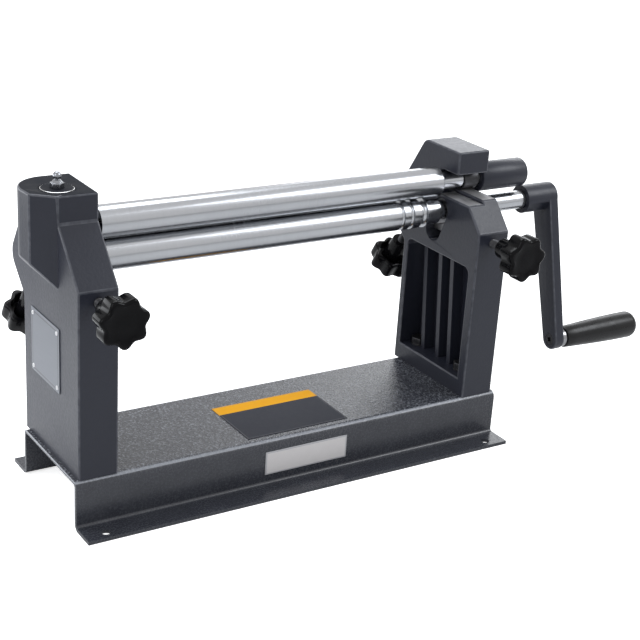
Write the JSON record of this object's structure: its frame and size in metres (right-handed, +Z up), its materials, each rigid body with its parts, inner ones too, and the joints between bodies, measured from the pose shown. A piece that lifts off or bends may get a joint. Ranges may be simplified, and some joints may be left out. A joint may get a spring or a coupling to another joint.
{
  "type": "slip roll",
  "caption": "Bench slip roll: parallel steel rolls between cast side frames on a folded base, with crank, adjusting knobs and a swing-out upper roll.",
  "frame": {"origin": "middle of the whole machine's footprint, on the bench surface", "axes": "+X along the rolls towards the crank, +Y to the rear, +Z up"},
  "size_m": [0.591, 0.215, 0.2637],
  "materials": {
    "casting_paint": "satin dark blue-grey",
    "base_paint": "hammered dark blue-grey",
    "ground_steel": "ground, lengthwise reflections",
    "dark_steel": "blackened, satin",
    "block_iron": "machined",
    "black_plastic": "gloss",
    "plate_metal": "satin",
    "label_film": "printed film, plain"
  },
  "bodies": {
    "stand": {"base_channel": "base_paint", "left_frame": "casting_paint", "right_frame": "casting_paint", "frame_bolt_left_front": "dark_steel", "frame_bolt_left_rear": "dark_steel", "frame_bolt_right_front": "dark_steel", "frame_bolt_right_rear": "dark_steel", "frame_washer_left_front": "dark_steel", "frame_washer_left_rear": "dark_steel", "frame_washer_right_front": "dark_steel", "frame_washer_right_rear": "dark_steel", "frame_nut_left_front": "dark_steel", "frame_nut_left_rear": "dark_steel", "frame_nut_right_front": "dark_steel", "frame_nut_right_rear": "dark_steel", "nameplate": "plate_metal", "nameplate_rivet_front_lower": "plate_metal", "nameplate_rivet_front_upper": "plate_metal", "nameplate_rivet_rear_lower": "plate_metal", "nameplate_rivet_rear_upper": "plate_metal", "badge_plate": "plate_metal", "top_label": "label_film"},
    "lower_carriage": {"front_block_left": "block_iron", "front_block_right": "block_iron"},
    "lower_roll_and_crank": {"lower_roll": "ground_steel", "crank_arm": "dark_steel", "crank_set_screw": "dark_steel", "grip_spindle": "dark_steel", "grip_washer": "ground_steel"},
    "crank_grip": {"crank_grip": "black_plastic"},
    "front_wedge_left": {"front_wedge_left": "block_iron"},
    "front_wedge_right": {"front_wedge_right": "block_iron"},
    "front_screw_left": {"front_screw_left": "ground_steel", "front_knob_left": "black_plastic"},
    "front_screw_right": {"front_screw_right": "ground_steel", "front_knob_right": "black_plastic"},
    "rear_carriage": {"rear_block_left": "block_iron", "rear_block_right": "block_iron"},
    "rear_roll": {"rear_roll": "ground_steel"},
    "rear_screw_left": {"rear_screw_left": "ground_steel", "rear_knob_left": "black_plastic"},
    "rear_screw_right": {"rear_screw_right": "ground_steel", "rear_knob_right": "black_plastic"},
    "upper_swivel": {"swivel_post": "dark_steel", "keeper_pin": "ground_steel", "grease_nipple": "ground_steel", "upper_bush": "dark_steel"},
    "upper_roll": {"upper_roll": "ground_steel", "release_handle": "dark_steel", "handle_pin": "dark_steel"}
  },
  "joints": [
    {"name": "lower_carriage_slide", "type": "slide", "parent": "stand", "child": "lower_carriage", "axis": [0, -0.3746, 0.9272], "range_m": [-0.005, 0.0004]},
    {"name": "lower_roll_spin", "type": "hinge", "parent": "lower_carriage", "child": "lower_roll_and_crank", "pos_m": [-0.08305, -0.00551, 0.196], "axis": [1, 0, 0], "continuous": true},
    {"name": "crank_grip_spin", "type": "hinge", "parent": "lower_roll_and_crank", "child": "crank_grip", "pos_m": [0.24695, -0.04057, 0.06957], "axis": [1, 0, 0], "continuous": true},
    {"name": "front_wedge_left_slide", "type": "slide", "parent": "stand", "child": "front_wedge_left", "axis": [0, 1, 0], "range_m": [-0.01087, 0.00088]},
    {"name": "front_knob_left_turn", "type": "hinge", "parent": "front_wedge_left", "child": "front_screw_left", "pos_m": [-0.26205, -0.08651, 0.181], "axis": [0, 1, 0], "range_deg": [-1958, 158]},
    {"name": "front_wedge_right_slide", "type": "slide", "parent": "stand", "child": "front_wedge_right", "axis": [0, 1, 0], "range_m": [-0.01087, 0.00088]},
    {"name": "front_knob_right_turn", "type": "hinge", "parent": "front_wedge_right", "child": "front_screw_right", "pos_m": [0.09595, -0.08651, 0.181], "axis": [0, 1, 0], "range_deg": [-1958, 158]},
    {"name": "rear_carriage_slide", "type": "slide", "parent": "stand", "child": "rear_carriage", "axis": [0, -0.5446, 0.8387], "range_m": [0, 0.026]},
    {"name": "rear_roll_spin", "type": "hinge", "parent": "rear_carriage", "child": "rear_roll", "pos_m": [-0.08305, 0.04649, 0.183], "axis": [1, 0, 0], "continuous": true},
    {"name": "rear_knob_left_turn", "type": "hinge", "parent": "rear_carriage", "child": "rear_screw_left", "pos_m": [-0.25865, 0.04649, 0.183], "axis": [0, -0.5446, 0.8387], "range_deg": [0, 4682]},
    {"name": "rear_knob_right_turn", "type": "hinge", "parent": "rear_carriage", "child": "rear_screw_right", "pos_m": [0.10035, 0.04649, 0.183], "axis": [0, -0.5446, 0.8387], "range_deg": [0, 4682]},
    {"name": "upper_swing", "type": "hinge", "parent": "stand", "child": "upper_swivel", "pos_m": [-0.27005, -0.00551, 0.222], "axis": [0, 0, -1], "range_deg": [0, 12]},
    {"name": "upper_roll_spin", "type": "hinge", "parent": "upper_swivel", "child": "upper_roll", "pos_m": [-0.08305, -0.00551, 0.222], "axis": [1, 0, 0], "continuous": true}
  ],
  "couplings": [
    {"joint": "front_wedge_left_slide", "follows": "lower_carriage_slide", "ratio": 2.1728},
    {"joint": "front_wedge_right_slide", "follows": "lower_carriage_slide", "ratio": 2.1728},
    {"joint": "front_knob_left_turn", "follows": "lower_carriage_slide", "rad_per_m": 6826.1},
    {"joint": "front_knob_right_turn", "follows": "lower_carriage_slide", "rad_per_m": 6826.1},
    {"joint": "rear_knob_left_turn", "follows": "rear_carriage_slide", "rad_per_m": 3141.6},
    {"joint": "rear_knob_right_turn", "follows": "rear_carriage_slide", "rad_per_m": 3141.6}
  ]
}
